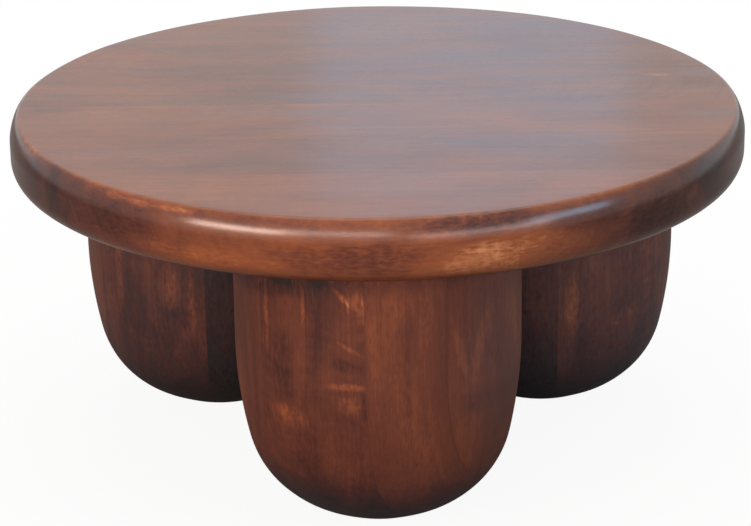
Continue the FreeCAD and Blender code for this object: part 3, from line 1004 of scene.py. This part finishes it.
class TABLE_OT_stage(bpy.types.Operator):
    """Sets the floor, the white surroundings, the softboxes and the camera"""

    bl_idname = "table.stage"
    bl_label = "Stage"

    def execute(self, context):
        settings = context.scene.table_stage
        make_floor(settings)
        light_world(context.scene, settings)
        for softbox in SOFTBOXES:
            hang_softbox(*softbox)
        context.scene.camera = set_camera(settings)
        context.scene.view_settings.view_transform = "Standard"
        return {"FINISHED"}


def make_floor(settings):
    """A wide round floor, pale, and lifted to white for the eye but for the table's soft shadow.

    The lacquer mirrors it as pale grey near the table, and as white far off.
    """
    floor_radius = 9.0
    sides = 96
    shadow_start, shadow_end = 0.3, 1.2
    grey_end, white_start = 2.5, 7.0
    mesh = bpy.data.meshes.new("Floor")
    turns = [2 * math.pi * side / sides for side in range(sides)]
    corners = [(floor_radius * math.cos(turn), floor_radius * math.sin(turn), 0.0) for turn in turns]
    mesh.from_pydata(corners, [], [list(range(sides))])
    floor = add_object("Floor", mesh)
    material = bpy.data.materials.new("Matt white floor")
    tree = empty_tree(material)
    straight = add(tree, "LightPath").outputs["Is Camera Ray"]
    colour = add(tree, "Mix", {
        0: straight, 6: (*settings.floor_colour, 1.0), 7: (*linear("#FAFAFA"), 1.0)}, data_type="RGBA")
    pale = add(tree, "BsdfDiffuse", {"Color": colour.outputs[2]})
    dull = add(tree, "BsdfDiffuse", {"Color": (*settings.floor_bounce, 1.0)})
    place = add(tree, "TexCoord").outputs["Object"]
    distance = add(tree, "VectorMath", [place], "LENGTH").outputs["Value"]
    lifted = add(tree, "MapRange", {
        "Value": distance, "From Min": shadow_start, "From Max": shadow_end,
        "To Min": 1.0 - settings.shadow_depth}, interpolation_type="SMOOTHSTEP")
    mirrored = add(tree, "MapRange", {
        "Value": distance, "From Min": grey_end, "From Max": white_start}, interpolation_type="SMOOTHSTEP")
    share = add(tree, "Mix", {0: straight, 2: mirrored, 3: lifted})
    glow = add(tree, "Emission", {"Color": WHITE, "Strength": 1.0})
    shown = add(tree, "MixShader", [share, pale, glow])
    mixed = add(tree, "MixShader", [seen_by_eye(tree), dull, shown])
    add(tree, "OutputMaterial", {"Surface": mixed})
    mesh.materials.append(material)
    return floor


def seen_by_eye(tree):
    """One for rays that the eye follows, straight or by gloss or glass, and nought for stray light."""
    path = add(tree, "LightPath").outputs
    mirrored = add(tree, "Math", [path["Is Camera Ray"], path["Is Glossy Ray"]], "MAXIMUM")
    return add(tree, "Math", [mirrored, path["Is Transmission Ray"]], "MAXIMUM")


def light_world(scene, settings):
    """White surroundings, which light the table at a plain level, more from above than from the sides."""
    world = bpy.data.worlds.new("White surroundings")
    scene.world = world
    tree = empty_tree(world)
    direction = add(tree, "SeparateXYZ", [add(tree, "TexCoord").outputs["Generated"]])
    sky = add(tree, "MapRange", {
        "Value": direction.outputs["Z"], "To Min": settings.low_level, "To Max": settings.high_level})
    level = add(tree, "MapRange", {"Value": seen_by_eye(tree), "To Min": sky, "To Max": 1.0})
    background = add(tree, "Background", {"Color": WHITE, "Strength": level})
    add(tree, "OutputWorld", {"Surface": background})


def place_about(azimuth, elevation, distance):
    """A point about the middle of the top face, and the direction to it. The azimuth is to the right of the front."""
    direction = Vector((math.sin(azimuth) * math.cos(elevation), -math.cos(azimuth) * math.cos(elevation),
                        math.sin(elevation)))
    return Vector((0.0, 0.0, TABLE_HEIGHT)) + direction * distance, direction


def hang_softbox(name, place, size, watts, colour):
    """Hangs one soft rectangular lamp that faces the table."""
    location, direction = place_about(math.radians(place[0]), math.radians(place[1]), place[2])
    lamp = bpy.data.lights.new(name, "AREA")
    lamp.shape = "RECTANGLE"
    lamp.size, lamp.size_y = size
    lamp.energy = watts
    lamp.color = linear(colour)
    box = add_object(name, lamp)
    box.location = location
    box.rotation_euler = (-direction).to_track_quat("-Z", "Y").to_euler()


def set_camera(settings):
    """Puts the camera where the photograph was taken from."""
    elevation = settings.camera_elevation
    azimuth = math.radians(CAMERA_AZIMUTH)
    look = Euler((math.pi / 2 - elevation, 0.0, azimuth)).to_matrix()
    pan = Matrix.Rotation(math.radians(CAMERA_PAN), 3, "Y")
    tilt = Matrix.Rotation(math.radians(CAMERA_TILT), 3, "X")
    roll = Matrix.Rotation(math.radians(CAMERA_ROLL), 3, "Z")
    lens = bpy.data.cameras.new("Camera")
    lens.lens = settings.lens
    lens.sensor_width = 36.0
    camera = add_object("Camera", lens)
    camera.matrix_world = (look @ pan @ tilt @ roll).to_4x4()
    camera.location = place_about(azimuth, elevation, settings.camera_distance)[0]
    return camera


class TABLE_PT_panel(bpy.types.Panel):
    """Lists the steps that make the table"""

    bl_idname = "TABLE_PT_panel"
    bl_label = "Round coffee table"
    bl_space_type = "VIEW_3D"
    bl_region_type = "UI"
    bl_category = "Table"

    def draw(self, context):
        scene = context.scene
        for settings in (scene.table_top, scene.table_legs, scene.table_wood, scene.table_stage):
            box = self.layout.box()
            for name in settings.__annotations__:
                box.prop(settings, name)
        for operator in OPERATORS:
            self.layout.operator(operator.bl_idname)


SETTINGS = {
    "table_top": TableTopSettings,
    "table_legs": TableLegSettings,
    "table_wood": TableWoodSettings,
    "table_stage": TableStageSettings,
}
OPERATORS = (TABLE_OT_top, TABLE_OT_legs, TABLE_OT_hardware, TABLE_OT_stage)
CLASSES = (*SETTINGS.values(), *OPERATORS, TABLE_PT_panel)


def register():
    for cls in CLASSES:
        bpy.utils.register_class(cls)
    for name, group in SETTINGS.items():
        setattr(bpy.types.Scene, name, PointerProperty(type=group))


def unregister():
    for name in SETTINGS:
        delattr(bpy.types.Scene, name)
    for cls in reversed(CLASSES):
        bpy.utils.unregister_class(cls)


def main():
    """Registers the classes and makes the table step by step."""
    register()
    bpy.ops.table.top()
    bpy.ops.table.legs()
    bpy.ops.table.hardware()
    bpy.ops.table.stage()


if __name__ == "__main__":
    main()
